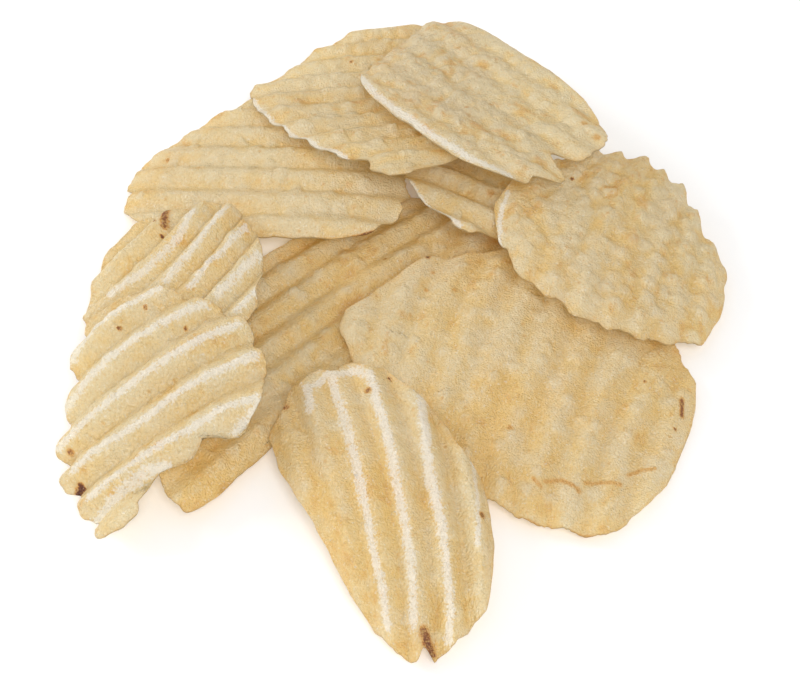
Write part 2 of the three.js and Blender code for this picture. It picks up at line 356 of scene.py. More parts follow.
SLICES = (
    Slice(
        node="crisp_long", position=(-18.55, -13.3, 2.1), tilt=(-0.7, 1.7), turn=45.4,
        bend=Bend(0.002, -0.006, 0.001), bow=-0.004, fan=-0.002, height=(0.4, 0.8), pitch=5.55,
        first_tip=(-10.2, -32.5, 10), first_ridge=-7.8,
        ridges=((-34.1, 40), (-32.4, 45), (-25, 46), (-16.5, 43), (-7, 37.5)),
        last_tip=(18.6, 1, 32), seed=1.0,
        patches=(Patch((5, 5), 14, 0.15), Patch((28, 0), 12, 0.2), Patch((-28, -5), 10, 0.3)),
        blistering=0.6,
        marks=(
            # Painted shade: the two wide golden marks at the far end stand in for the shade under the
            # crisps lying over that end.
            golden(2.6, (31, 16.2), (40, 16.2)), golden(2, (41.5, -3), (44, 2)),
            brown(0.35, (24.1, 4.6)), brown(0.3, (27.8, 12.4)),
        ),
        pulls=(Pull((-34.2, -9.8), (-0.5, -0.3), (1.2, 1.2)),),
    ),
    Slice(
        node="crisp_back_left", position=(-25.45, 26.3, 4.45), tilt=(-5.9, -4.0), turn=-7.3,
        bend=Bend(-0.004, -0.003, -0.0015), bow=0.004, fan=0.002, height=(0.7, 0.7), pitch=6.2,
        first_tip=(-16.5, -14, 19), first_ridge=-14.6,
        ridges=((-21.8, 23), (-23.8, 26), (-24, 25.5), (-21.2, 23.5), (-16.4, 19), (-12, 10.5)),
        last_tip=(22.6, -6, -2), scallop=(-1.3, -0.6), seed=2.0, goldness=0.45, blistering=0.4,
        marks=(
            brown(0.4, (17.8, -17.1), (19.3, -16.7), (21.5, -15.9), (23.6, -14.9), (24.6, -14.1)),
            brown(0.4, (-18.5, 1.9)),
        ),
    ),
    Slice(
        node="crisp_broad", position=(19.15, -25.1, 3.9), tilt=(3.2, 3.1), turn=71.2,
        bend=Bend(-0.003, -0.003, 0.0015), bow=-0.006, fan=0.003, height=(0.4, 0.4), pitch=5.911,
        first_tip=(-24.9, -5, 5), first_ridge=-22.5,
        ridges=(
            (-12.2, 13.9), (-19.8, 20.5), (-20.7, 26), (-21.3, 28.5), (-19.5, 29.5),
            (-18.8, 30), (-15.8, 29.8), (-12.3, 25.7), (-8, 22), (0.4, 10),
        ),
        last_tip=(33, 3.5, 7.5), seed=3.0,
        patches=(Patch((-8, 6), 12, 0.25), Patch((2, 24), 9, -0.15), Patch((-16, -12), 8, -0.15)),
        goldness=0.55, blistering=0.4,
        nicks=(Nick(20.9, 0.9, 1.2),),
        marks=(
            golden(0.4, (-14.3, -4.1), (-15.2, -5.6)),
            golden(0.5, (-14.1, -6.1), (-12.7, -8.3), (-13.4, -10), (-14, -11.8)),
            golden(0.45, (-12.2, -12.3), (-11, -14.5), (-10.6, -17.6)),
            golden(0.4, (-8.3, -18.3), (-6.5, -19.9), (-5.7, -21.9)),
            brown(0.4, (9.1, -21.8), (5.7, -22.9)), golden(0.7, (-6.8, 1.5)), brown(0.35, (2.9, -22.7)),
            burnt(0.35, (-13.7, -22.2)), brown(0.35, (9.9, -15.5)), burnt(0.4, (22.4, 24.2)),
            golden(0.5, (19.5, 22.3)), golden(0.5, (15.4, 22)), golden(0.5, (16.6, 17.7)),
            golden(0.5, (-21.4, -3.5), (-21.2, -10), (-20.3, -16.5)),
        ),
        lumps=(Lump((3.2, 30.8), 2.2, 0.8),),
    ),
    Slice(
        node="crisp_upper_left", position=(-38.95, 0.9, 7.45), tilt=(3.2, -13.9), turn=50.5,
        bend=Bend(-0.01, -0.004, 0), bow=0.024, fan=-0.002, height=(1.05, 1.05), pitch=5.14,
        first_tip=(-18.5, -6, 1), first_ridge=-17,
        ridges=((-10, 3.9), (-14.5, 11.2), (-17.4, 13), (-18.3, 14.8), (-16.5, 13.1), (-10.4, 8.2)),
        last_tip=(12.2, -6, 5), scallop=(-0.6, -1), seed=4.0, goldness=0.4, blistering=0.3,
        crease=0.4, nicks=(Nick(-14.3, 1.2, 1.0),),
        marks=(
            brown(0.7, (8.5, 9), (6.8, 8.5), (5.2, 7.4)), burnt(0.35, (3.4, 6.6)),
            brown(0.4, (9.4, 10.8)), burnt(0.3, (4.6, 9)),
            painted_highlight(0.7, (10, 3.6), (4.5, 2.6), (0.5, 2.5), (-3.7, 2.5), (-10.6, 3.3)),
            painted_highlight(0.7, (13, -1.9), (6.7, -1.7), (1.5, -2.1), (-3.9, -2.4)),
            painted_highlight(0.6, (11.9, -7.6), (6.3, -7.1), (2.2, -6.6), (-2.9, -7.2)),
            painted_highlight(0.75, (8.8, -13), (3.4, -12.6), (-1.5, -12.3)),
            painted_highlight(0.6, (2.7, -17.3), (-2.1, -16.9)),
        ),
    ),
    Slice(
        node="crisp_left", position=(-38.35, -30.5, 9.3), tilt=(10.4, -14.2), turn=31.1,
        bend=Bend(-0.012, -0.004, 0.002), bow=-0.001, fan=0.006, height=(1.15, 1.15), pitch=6.46,
        first_tip=(-15.0, -16.2, -11.2), first_ridge=-13.7,
        ridges=((-17.6, -9.3), (-17.8, 14.3), (-18, 17.3), (-15.8, 17.8), (-11.3, 14.3), (-7.2, 9.7)),
        last_tip=(22.6, -3.5, 4), scallop=(1.7, 1.2), seed=5.0, goldness=0.4, blistering=0.4,
        crease=0.4, scallop_shift=-1.5,
        marks=(
            brown(0.4, (1, 16.6)), brown(0.4, (6.2, 16.8)), brown(0.35, (9.8, 9.6)),
            brown(0.7, (-14.9, 9.7)), brown(0.6, (-15.4, 3.5)), burnt(0.7, (-17.8, -4), (-16.7, -3.4)),
            painted_highlight(0.7, (-7.7, 17.8), (-2.6, 19.4), (2.9, 18.7), (9.8, 18.2)),
            painted_highlight(0.75, (-13.4, 10.9), (-8.4, 11.5), (-1, 12.2), (5.9, 11.8), (14.3, 11.2)),
            painted_highlight(0.75, (-16.4, 4.8), (-9.7, 5.3), (-3.2, 5.2), (4, 5.4), (10.6, 5.2), (16.9, 4.8)),
            painted_highlight(0.75, (-15.8, -1.1), (-10, -1), (-3.1, -1.4), (2.6, -1), (8.6, -1), (16.3, -1.4)),
            painted_highlight(0.75, (-15.6, -7.6), (-10.2, -7.1), (-4, -7), (2.4, -7.3), (8.3, -7), (13, -7.6)),
            painted_highlight(1, (-17.8, -10.9), (-12, -9.7), (-6.5, -9.1), (-3.7, -9.6)),
            painted_highlight(0.7, (7.6, -10.6), (10.2, -9.4), (13.5, -8.2)),
        ),
        lumps=(
            Lump((-6.4, 8.3), 1.9, 0.6, 0.8), Lump((-13.3, 2), 1.6, 0.5, 0.8), Lump((8.4, -9.9), 1.9, 0.7),
            Lump((-16, -10.6), 2, 0.6), Lump((-13.4, -10.2), 2, 0.6), Lump((-10.8, -9.9), 2, 0.6),
            Lump((-8.2, -9.7), 2, 0.6), Lump((-5.6, -9.7), 2, 0.5),
        ),
        pulls=(
            Pull((-5.5, -12), (0, 2.6), (4, 6)),
            Pull((3.2, -10), (-0.2, 1.9), (2.3, 5)),
            Pull((8, -9.2), (0.2, -1.7), (2, 3.4)),
        ),
    ),
    Slice(
        node="crisp_front", position=(-3.45, -48.3, 6.0), tilt=(9.7, -3.7), turn=-80,
        bend=Bend(-0.004, -0.02, 0), bow=-0.006, fan=-0.003, height=(0.35, 1.05), pitch=4.82,
        first_tip=(-13.9, -17, -11.5), first_ridge=-11.2,
        ridges=((-21.5, -3.2), (-27, 12.5), (-27.2, 20), (-26.8, 23.3), (-21.6, 21.3), (-10, 16.5)),
        last_tip=(15.4, -3, 8), scallop=(-1.6, 0.2), seed=6.0,
        patches=(Patch((-8, -10), 9, 0.15), Patch((0, 0), 6, 0.1)),
        blistering=0.3, crease=0.4, nicks=(Nick(3.3, 2.5, 1.0),),
        marks=(
            brown(0.6, (-21.4, 2.1)), burnt(0.35, (-23.5, 5.9)), brown(0.6, (2.2, 14)),
            brown(0.5, (-20.5, 10.2)), brown(0.6, (-22.4, -10.2)),
            brown(0.8, (18.6, 3.4), (20.4, 3.9), (22, 4.4)), painted_highlight(0.95, (-24.1, -6), (-20.1, -6.7)),
            painted_highlight(0.95, (-25.4, -2.1), (-22, -2.5), (-9, -2.6), (-2.5, -2.7)),
            painted_highlight(0.8, (-2.5, -2.7), (6.6, -2.6), (11.8, -2.1), (17.2, -1.9)),
            painted_highlight(0.95, (-24.4, 3), (-19, 2.8), (-12.6, 2.8), (-4.9, 2.4)),
            painted_highlight(0.85, (-4.9, 2.4), (8.7, 2.5), (13.6, 2.3), (17.6, 1.9)),
            painted_highlight(1, (-18.7, 9.1), (-12.1, 8.2), (-5.7, 7.3), (-1.2, 7.5), (4.7, 7.7)),
            painted_highlight(0.8, (4.7, 7.7), (10.7, 7.6), (16.5, 7.6), (20.8, 7)),
            painted_highlight(0.5, (-6.7, 14.2), (-1.9, 13.8), (3.8, 13.1), (7.2, 12.4)),
            painted_highlight(0.95, (-24.4, -6.1), (-26.3, -2.5), (-25.4, -1.4), (-26.2, 1.2), (-23.8, 3)),
        ),
        lumps=(
            Lump((-25.2, -1.9), 1.7, 0.7), Lump((-24.4, 3), 1.4, 0.6), Lump((-18.8, 8.8), 1.4, 0.5),
            Lump((-1.4, 6.6), 2, 0.5),
        ),
    ),
    Slice(
        node="crisp_small", position=(8.95, 15.5, 8.4), tilt=(-9.0, 9.2), turn=-27.3,
        bend=Bend(-0.006, 0.008, 0), bow=-0.006, fan=0.001, height=(0.75, 0.75), pitch=6.167,
        first_tip=(-9, 3, 5.5), first_ridge=-8,
        ridges=((1.9, 6.8), (-9, 13.5), (-12, 14), (-9.5, 10)),
        last_tip=(15, -4, 4), scallop=(0.2, 0.12), seed=7.0,
        patches=(Patch((-4, 4), 8, 0.15),),
        blistering=0.6,
        marks=(
            painted_highlight(0.7, (-10, -1.5), (-8, -2.9), (-4, -5.2), (0, -7.3), (4, -8.6)),
            golden(0.9, (4.2, 3.4)),
        ),
    ),
    Slice(
        node="crisp_round", position=(34.25, 4.3, 8.35), tilt=(3.0, 12.2), turn=70.3,
        bend=Bend(-0.003, -0.008, 0.001), bow=-0.008, fan=-0.006, height=(0.25, 0.25), pitch=4.929,
        first_tip=(-20.3, -5, 7), first_ridge=-17.2,
        ridges=(
            (-11.6, 9.8), (-14.6, 15.8), (-16.4, 20.2), (-17, 22.1),
            (-17.2, 23.5), (-15.5, 21.8), (-13.2, 20.5), (-6.8, 13),
        ),
        last_tip=(20.6, -1, 8), scallop=(1.3, 1.4), seed=8.0,
        patches=(Patch((-6, 8), 9, 0.15),),
        goldness=0.55, blistering=1.0,
        marks=(
            burnt(0.38, (10.6, 11.6)), golden(0.6, (11.5, 5.4), (12.4, 3.9)),
            painted_highlight(0.5, (3.6, 20), (0.4, 19.6), (-3, 18.7), (-9.8, 16.3), (-11.8, 14.3)),
        ),
    ),
    Slice(
        node="crisp_rear", position=(-6.85, 43.7, 6.35), tilt=(-12.4, -0.3), turn=11.3,
        bend=Bend(-0.004, 0.004, 0), bow=0.009, fan=0, height=(0.25, 0.6), pitch=5.3,
        first_tip=(-31, -2, 0.5), first_ridge=-30,
        ridges=(
            (-3.5, 2.5), (-5.6, 15), (-10.9, 19), (-14.3, 22), (-17.4, 24), (-20, 25),
            (-21.2, 25.5), (-20.7, 25), (-12.3, 24.5), (-8, 22), (0.5, 14),
        ),
        last_tip=(24.2, 3, 12), scallop=(-0.3, 0), seed=9.0,
        patches=(Patch((8, -12), 7, 0.25),),
        blistering=0.6,
        marks=(
            brown(0.4, (-1.5, 11.7)), golden(0.6, (13.8, 20.5)), golden(0.5, (9.5, 16.2)),
            painted_highlight(0.7, (-21.2, 2), (-19.6, -4), (-17.6, -8), (-13.6, -15), (-8.2, -22)),
        ),
    ),
    Slice(
        node="crisp_top", position=(12.95, 34.2, 12.65), tilt=(-9.8, 2.0), turn=-50.9,
        bend=Bend(-0.006, 0.006, 0.001), bow=0.008, fan=-0.001, height=(0.3, 0.3), pitch=5.725,
        first_tip=(-14.6, -10, 10), first_ridge=-12.8,
        ridges=((-20, 16.3), (-24, 24.4), (-27, 22.5), (-29, 21.8), (-31.6, 20.2)),
        last_tip=(15.6, -26, 9), seed=10.0, goldness=0.4, blistering=0.9,
        nicks=(Nick(-8.0, 3.0, 1.4), Nick(-0.8, 4.8, 1.9)),
        marks=(
            golden(0.8, (15.7, 9.6)), golden(0.8, (19.3, 8.7)), golden(0.5, (-0.2, -3.1)),
            golden(0.5, (1.6, 0.8)),
            painted_highlight(0.9, (-24, -12), (-15, -13.6), (0, -14.1), (12, -13.5), (18.5, -11)),
        ),
    ),
)


def blend(t: float, a: np.ndarray, b: np.ndarray, start: float, end: float) -> np.ndarray:
    """The point at t on the straight way from a, at the start, to b, at the end."""
    return ((end - t) * a + (t - start) * b) / (end - start)


@dataclass(frozen=True)
class SliceSheet:
    """The flat grid of a slice, closed round its edge, which the ridged-slice tree then shapes."""

    slice: Slice
    spacing: float = 0.28
    edge_steps: tuple[float, ...] = (0.0, 0.07, 0.17, 0.32, 0.52)
    outline_steps: int = 12
    edge_share: float = 0.3
    tip_trim: float = 0.2
    serration: tuple[Pair, ...] = ((0.16, 1.1), (0.11, 0.45))
    serration_seeds: int = 10
    mark_seeds: int = 100
    mark_core: float = 1.35
    mark_wobble: float = 0.12
    highlight_falloff: float = 1.2
    dip_width: float = 0.5

    def outline(self) -> np.ndarray:
        """The closed curve through the ridges' ends, as rows of (along, line)."""
        cut = self.slice
        rows = [cut.first_tip]
        rows += [(cut.first_ridge + i * cut.pitch, *ends) for i, ends in enumerate(cut.ridges)]
        rows += [cut.last_tip]
        corners = [(far, line) for line, _, far in rows] + [(near, line) for line, near, _ in rows[::-1]]
        points = np.array(corners, float)
        curve = []
        count = len(points)
        for i in range(count):
            p0, p1, p2, p3 = (points[(i + k) % count] for k in (-1, 0, 1, 2))
            gaps = [max(np.hypot(*(b - a)) ** 0.5, TINY) for a, b in ((p0, p1), (p1, p2), (p2, p3))]
            t0, t1 = 0.0, gaps[0]
            t2, t3 = t1 + gaps[1], t1 + gaps[1] + gaps[2]
            for t in np.linspace(t1, t2, self.outline_steps, endpoint=False):
                a1 = blend(t, p0, p1, t0, t1)
                a2 = blend(t, p1, p2, t1, t2)
                a3 = blend(t, p2, p3, t2, t3)
                b1 = blend(t, a1, a2, t0, t2)
                b2 = blend(t, a2, a3, t1, t3)
                curve.append(blend(t, b1, b2, t1, t2))
        return np.array(curve)

    def line_ends(self, outline: np.ndarray, line: float) -> Pair:
        """Where the slice starts and ends along one line.

        Args:
            outline: the closed curve of the slice's edge.
            line: which line is asked for.

        Returns:
            The near end and the far end, along the ridges.
        """
        cut = self.slice
        a, b = outline, np.roll(outline, -1, axis=0)
        crossing = ((a[:, 1] - line) * (b[:, 1] - line) <= 0) & (a[:, 1] != b[:, 1])
        share = (line - a[crossing, 1]) / (b[crossing, 1] - a[crossing, 1])
        along = a[crossing, 0] + share * (b[crossing, 0] - a[crossing, 0])
        wave = math.cos(2 * math.pi * (line - cut.first_ridge - cut.scallop_shift) / cut.pitch)
        near = along.min() - 0.5 * cut.scallop[0] * wave
        far = along.max() + 0.5 * cut.scallop[1] * wave
        for nick in cut.nicks:
            far -= nick.depth * math.exp(-(((line - nick.line) / nick.half_width) ** 2))
        return near, far

    def serrated(self, lines: np.ndarray) -> np.ndarray:
        """The fine teeth of the near and the far edge.

        Args:
            lines: the lines in order.

        Returns:
            How far each line's near and far end are moved along the ridges.
        """
        rng = np.random.default_rng(int(self.slice.seed * self.serration_seeds))
        moves = np.zeros((len(lines), 2))
        for depth, size in self.serration:
            knots = np.arange(lines[0] - size, lines[-1] + size, size)
            for end in range(2):
                moves[:, end] += np.interp(lines, knots, rng.normal(0, depth, len(knots)))
        return moves

    def steps(self, length: float, count: int) -> np.ndarray:
        """Places from 0 to a length, closer together towards both ends.

        Args:
            length: how far the places reach.
            count: how many there are.

        Returns:
            The places, in order.
        """
        edge = np.array(self.edge_steps)
        edge = edge * min(1.0, self.edge_share * length / edge[-1])
        middle = np.linspace(edge[-1], length - edge[-1], count - 2 * len(edge) + 2)
        return np.concatenate([edge[:-1], middle, length - edge[-2::-1]])

    def pulled(self, places: np.ndarray) -> np.ndarray:
        """The sheet's places after its pulls, whose last axis is (along, line)."""
        for pull in self.slice.pulls:
            offset = (places - np.array(pull.place)) / np.array(pull.reach)
            places = places + np.exp(-(offset**2).sum(-1, keepdims=True)) * np.array(pull.move)
        return places

    def edge_distance(self, places: np.ndarray, ring: np.ndarray) -> np.ndarray:
        """How far each place is from the slice's edge.

        Args:
            places: rows of (along, line).
            ring: the edge's points in order.

        Returns:
            One distance for each place.
        """
        a, b = ring, np.roll(ring, -1, axis=0)
        side = b - a
        length2 = np.maximum((side**2).sum(1), TINY)
        best = np.full(len(places), FAR_OFF)
        chunk = 4096
        for start in range(0, len(places), chunk):
            offset = places[start:start + chunk, None, :] - a[None]
            share = np.clip((offset * side).sum(2) / length2, 0, 1)
            gap = offset - share[..., None] * side
            best[start:start + chunk] = np.sqrt((gap**2).sum(2).min(1))
        return best

    def marks_at(self, places: np.ndarray, painted_highlight: bool) -> np.ndarray:
        """How strongly the slice's marks cover each place.

        Args:
            places: rows of (along, line).
            painted_highlight: whether the marks of painted highlight are asked for, or the browned ones.

        Returns:
            The strength at each place, from 0 to 1.
        """
        rng = np.random.default_rng(int(self.slice.seed * self.mark_seeds))
        found = np.zeros(len(places))
        for mark in self.slice.marks:
            if (mark.tone is Tone.PAINTED_HIGHLIGHT) != painted_highlight:
                continue
            wobble = rng.normal(0, self.mark_wobble, len(places))
            gap = np.full(len(places), FAR_OFF)
            points = np.array(mark.places, float)
            ends = points[1:] if len(points) > 1 else points
            for a, b in zip(points, ends):
                side = b - a
                share = np.clip(((places - a) @ side) / max(side @ side, TINY), 0, 1)
                gap = np.minimum(gap, np.hypot(*(places - a - share[:, None] * side).T))
            if painted_highlight:
                shape = np.exp(-self.highlight_falloff * (gap / mark.reach) ** 2)
            else:
                shape = np.clip(self.mark_core - gap / mark.reach + wobble, 0, 1)
                shape = shape * shape * (3 - 2 * shape)
            found = np.maximum(found, abs(mark.tone.value) * shape)
        return found

    def golden_at(self, places: np.ndarray) -> np.ndarray:
        """How much more golden than the rest of the slice each place is."""
        found = np.zeros(len(places))
        for patch in self.slice.patches:
            gap = np.hypot(*(places - np.array(patch.place)).T) / patch.reach
            found += patch.amount * np.exp(-(gap**2))
        return found

    def lumps_at(self, places: np.ndarray) -> np.ndarray:
        """How far the slice's blisters lift each place, in mm."""
        lift = np.zeros(len(places))
        for lump in self.slice.lumps:
            gap = np.hypot(*(places - np.array(lump.place)).T) / lump.reach
            dome = np.clip(1 - gap**2, 0, 1)
            dip = np.clip(1 - (gap / self.dip_width) ** 2, 0, 1)
            lift += lump.height * (dome * dome - lump.hollow * dip)
        return lift

    def build(self) -> bpy.types.Object:
        """Makes the closed flat mesh with the attributes that the tree reads.

        Returns:
            An object whose mesh has two faces of cells that share one ring of edge points.
        """
        outline = self.outline()
        low = outline[:, 1].min() + self.tip_trim
        high = outline[:, 1].max() - self.tip_trim
        lines = low + self.steps(high - low, int((high - low) / self.spacing) + 2 * len(self.edge_steps))
        ends = np.array([self.line_ends(outline, line) for line in lines])
        ends += self.serrated(lines)
        widest = (ends[:, 1] - ends[:, 0]).max()
        columns = int(widest / self.spacing) + 2 * len(self.edge_steps)
        rows = [near + self.steps(far - near, columns) for near, far in ends]
        along = np.array(rows)
        places = self.pulled(np.stack([along, np.repeat(lines[:, None], columns, 1)], -1))
        count = len(lines)

        number = np.arange(count * columns).reshape(count, columns)
        inner = np.zeros((count, columns), bool)
        inner[1:-1, 1:-1] = True
        under = number.copy()
        under[inner] = count * columns + np.arange(inner.sum())
        flat = places.reshape(-1, 2)
        ring = np.concatenate([number[0, :-1], number[:-1, -1], number[-1, :0:-1], number[:0:-1, 0]])
        edge = self.edge_distance(flat, flat[ring])
        edge[ring] = 0.0
        side = np.where(inner, 1.0, 0.0).ravel()
        all_places = np.concatenate([flat, places[inner]])
        all_edge = np.concatenate([edge, edge.reshape(count, columns)[inner]])
        all_side = np.concatenate([side, -np.ones(inner.sum())])

        faces = []
        for grid, order in ((number, (0, 1, 2, 3)), (under, (0, 3, 2, 1))):
            corners = (grid[:-1, :-1], grid[:-1, 1:], grid[1:, 1:], grid[1:, :-1])
            faces += np.stack([corners[i] for i in order], -1).reshape(-1, 4).tolist()
        points = np.column_stack([all_places, all_side * THICKNESS / 2])
        mesh = bpy.data.meshes.new(self.slice.node + "_sheet")
        mesh.from_pydata(points.tolist(), [], faces)
        lumps = self.lumps_at(all_places) * (all_side > 0)
        # One attribute holds the marks of painted highlight on lit crests and rims; the browned marks are
        # the slice's own toasting.
        for name, values in (
            ("side", all_side),
            ("edge", all_edge),
            ("lump", lumps),
            ("browned", self.marks_at(all_places, False)),
            ("highlight_paint", self.marks_at(all_places, True)),
            ("golden", self.golden_at(all_places)),
        ):
            attribute = mesh.attributes.new(name, "FLOAT", "POINT")
            attribute.data.foreach_set("value", values.astype(np.float32))
        return add_object(self.slice.node + "_sheet", mesh)


class SliceInput(Enum):
    """The named inputs of the ridged-slice tree."""

    BEND_ALONG = "Bend along"
    BEND_ACROSS = "Bend across"
    TWIST = "Twist"
    BOW = "Bow"
    FAN = "Fan"
    PITCH = "Pitch"
    FIRST_RIDGE = "First ridge"
    FIRST_HEIGHT = "First height"
    LAST_HEIGHT = "Last height"
    FIRST_LINE = "First line"
    LAST_LINE = "Last line"
    BLISTERING = "Blistering"
    GOLDNESS = "Goldness"
    CREASE = "Crease"
    SEED = "Seed"


class Layer(float, Enum):
    """The layers of the random variation, far enough apart to be independent."""

    RAGGED = 0.0
    MEANDER = 30.0
    HEIGHT = 40.0
    SWELL = 50.0
    GRAIN = 60.0
    UNEVEN = 80.0
    COLOUR = 90.0
    FROTH = 95.0
    CRINKLE = 97.0


@dataclass(frozen=True)
class Frying:
    """How strongly the random variation and the relief turn a slice golden, or toast spots of it."""

    gold_clouds: float = 1.2
    gold_patches: float = 1.3
    gold_flecks: float = 0.4
    gold_crests: float = -0.06
    gold_crinkles: float = -1.3
    gold_blisters: float = -0.3
    gold_rise: Pair = (0.1, 1.0)
    toast_clouds: float = 0.5
    toast_flecks: float = 0.3
    toast_blistering: float = 0.08
    toast_rise: Pair = (0.14, 0.3)


@dataclass
class RidgedSliceTree:
    """The Geometry Nodes tree that bends a flat sheet, raises its ridges and roughens its faces, in mm.

    A pair of numbers for one kind of variation is its depth and its size.
    """

    crease_mean: float = 0.273
    meander: Pair = (0.9, 16.0)
    height_change: Pair = (0.7, 9.0)
    waviness: Pair = (0.7, 16.0)
    unevenness: Pair = (0.3, 5.0)
    edge_radius: float = 0.12
    edge_share: float = 0.2
    taper_reach: float = 4.0
    ragged: tuple[Pair, ...] = ((0.8, 4.5), (0.3, 1.6))
    ragged_reach: float = 2.5
    highlight_relief: float = 0.5
    crinkle: Pair = (0.9, 3.4)
    cloud_size: float = 8.0
    patch_size: float = 2.4
    fleck_size: float = 0.9
    streak_squeeze: float = 0.6
    blister: Pair = (0.38, 3.0)
    blister_rise: Pair = (0.62, 0.1)
    blister_share: float = 0.75
    blister_pick: Pair = (0.8, 1.1)
    blister_inset: float = 0.8
    pimple: Pair = (0.08, 0.85)
    pimple_rise: Pair = (0.6, 0.0)
    grain: tuple[Pair, ...] = ((0.14, 2.4), (0.3, 0.7))
    seed_step: Pair = (71.0, 37.0)
    side_step: float = 3.0
    face_step: float = 31.0
    layer_step: float = 10.0
    frying: Frying = Frying()
    inputs: dict[SliceInput, str] = field(default_factory=dict)
    material_input: str = ""
    tree: bpy.types.NodeTree | None = None

    def number(self, graph: Graph, name: str) -> Field:
        """A number that the sheet carries at each point."""
        node = graph.node("GeometryNodeInputNamedAttribute", {"Name": name}, data_type="FLOAT")
        return Field(graph, next(s for s in node.outputs if s.enabled and s.name == "Attribute"))

    def keep(self, mesh: Field, name: str, value: Field, kind: str = "FLOAT") -> Field:
        """Stores a value on the mesh for the finish to read.

        Args:
            mesh: the mesh so far.
            name: the attribute's name.
            value: what is stored.
            kind: FLOAT or FLOAT_VECTOR.

        Returns:
            The mesh with the attribute.
        """
        feeds = {"Geometry": mesh, "Name": name}
        node = mesh.graph.node("GeometryNodeStoreNamedAttribute", feeds, data_type=kind, domain="POINT")
        mesh.graph.feed(next(s for s in node.inputs if s.enabled and s.name == "Value"), value)
        return Field(mesh.graph, node.outputs["Geometry"])

    def pointed(self, wave: Field) -> Field:
        """The wave with round crests and creased valleys, about a mean of zero."""
        return (wave * 0.5 + 0.5).root() * 2.0 - (1.0 + self.crease_mean)

    def build(self) -> None:
        """Makes the tree, once for all slices."""
        self.tree = bpy.data.node_groups.new("ridged_slice", "GeometryNodeTree")
        add_socket(self.tree, "Sheet", "INPUT", "NodeSocketGeometry")
        for name in SliceInput:
            self.inputs[name] = add_socket(self.tree, name.value, "INPUT", "NodeSocketFloat", 0.0)
        self.material_input = add_socket(self.tree, "Finish", "INPUT", "NodeSocketMaterial")
        add_socket(self.tree, "Slice", "OUTPUT", "NodeSocketGeometry")
        graph = Graph(self.tree)
        entry = graph.node("NodeGroupInput")
        fields = {name.name.lower(): Field(graph, entry.outputs[name.value]) for name in SliceInput}
        given = SimpleNamespace(**fields)
        start_along = given.seed * self.seed_step[0]
        start_line = given.seed * self.seed_step[1]

        position = graph.node("GeometryNodeInputPosition")
        split = graph.node("ShaderNodeSeparateXYZ", {0: position.outputs[0]})
        along = Field(graph, split.outputs[0])
        line = Field(graph, split.outputs[1])
        side = self.number(graph, "side")
        edge = self.number(graph, "edge")

        # A fried edge is ragged: the sheet is pushed about in its own plane near the edge.
        near_edge = edge.step_up(self.ragged_reach, 0.0)
        flat_along, flat_line = along + start_along, line + start_line
        for number, (depth, size) in enumerate(self.ragged):
            layer = Layer.RAGGED + self.layer_step * number
            along_at = graph.vector(flat_along, flat_line, layer)
            line_at = graph.vector(flat_along, flat_line, layer + self.layer_step / 2)
            along = along + graph.noise(along_at, size, 1.0) * near_edge * depth
            line = line + graph.noise(line_at, size, 1.0) * near_edge * depth
        seeded_along, seeded_line = along + start_along, line + start_line

        def layer_at(layer: float, per_side: float = 0.0) -> Field:
            """A place in one layer of the random variation, which may differ from face to face."""
            return graph.vector(seeded_along, seeded_line, side * per_side + layer)

        def varied(layer: float, depth_and_size: Pair, detail: float = 1.0) -> Field:
            """One kind of variation, the same on both faces."""
            depth, size = depth_and_size
            return graph.noise(layer_at(layer), size, detail) * depth

        # The ridges wander and change in height, with round crests and creased valleys on both faces.
        crest_line = line + varied(Layer.MEANDER, self.meander)
        turns = (crest_line - given.first_ridge) / given.pitch
        wave = (turns * (2 * math.pi)).cosine()
        inward = graph.math("MINIMUM", edge / self.edge_radius, 1.0)
        rounding = graph.math("MAXIMUM", 1.0 - (1.0 - inward).squared(), 0.0).root()
        taper = edge.step_up(0.0, self.taper_reach) * (1.0 - self.edge_share) + self.edge_share
        inside = rounding * taper
        upper = wave * (1.0 - given.crease) + self.pointed(wave) * given.crease
        lower = wave * (1.0 - given.crease) - self.pointed(-wave) * given.crease
        ridge = (upper + lower + (upper - lower) * side * inside) * 0.5
        share = (line - given.first_line) / (given.last_line - given.first_line)
        height = given.first_height + (given.last_height - given.first_height) * share
        height = height * (varied(Layer.HEIGHT, self.height_change) + 1.0)
        swell = varied(Layer.SWELL, self.waviness, 0.0)

        # Blisters, pimples and grain differ from face to face.
        face_at = graph.vector(seeded_along + side * self.face_step, seeded_line, 0.0)
        cells = graph.cells(face_at, self.blister[1])
        dome = Field(graph, cells.outputs["Distance"]).step_up(*self.blister_rise)
        chance = graph.first_of(cells.outputs["Color"]) + given.blistering * self.blister_share
        blister = dome * chance.step_up(*self.blister_pick)
        pimples = graph.cells(face_at, self.pimple[1])
        pimple = Field(graph, pimples.outputs["Distance"]).step_up(*self.pimple_rise)
        relief = blister * self.blister[0] * edge.step_up(0.0, self.blister_inset)
        relief = relief + pimple * self.pimple[0]
        for number, (depth, size) in enumerate(self.grain):
            grain_at = layer_at(Layer.GRAIN + self.layer_step * number, self.side_step)
            relief = relief + graph.noise(grain_at, size, 2.0, 0.6) * depth
        crinkle = graph.noise(layer_at(Layer.CRINKLE), self.crinkle[1], 1.0, 0.6) * given.blistering
        relief = relief + crinkle * self.crinkle[0]
        # The marks of painted highlight are also roughened, as froth.
        froth_at = layer_at(Layer.FROTH, self.side_step)
        froth = graph.noise(froth_at, self.fleck_size, 2.0, 0.6) * self.highlight_relief
        relief = relief + self.number(graph, "lump") + self.number(graph, "highlight_paint") * froth
        half = inside * (varied(Layer.UNEVEN, self.unevenness) + 1.0) * (THICKNESS / 2)
        lift = ridge * height + swell + side * half + relief * side * inside

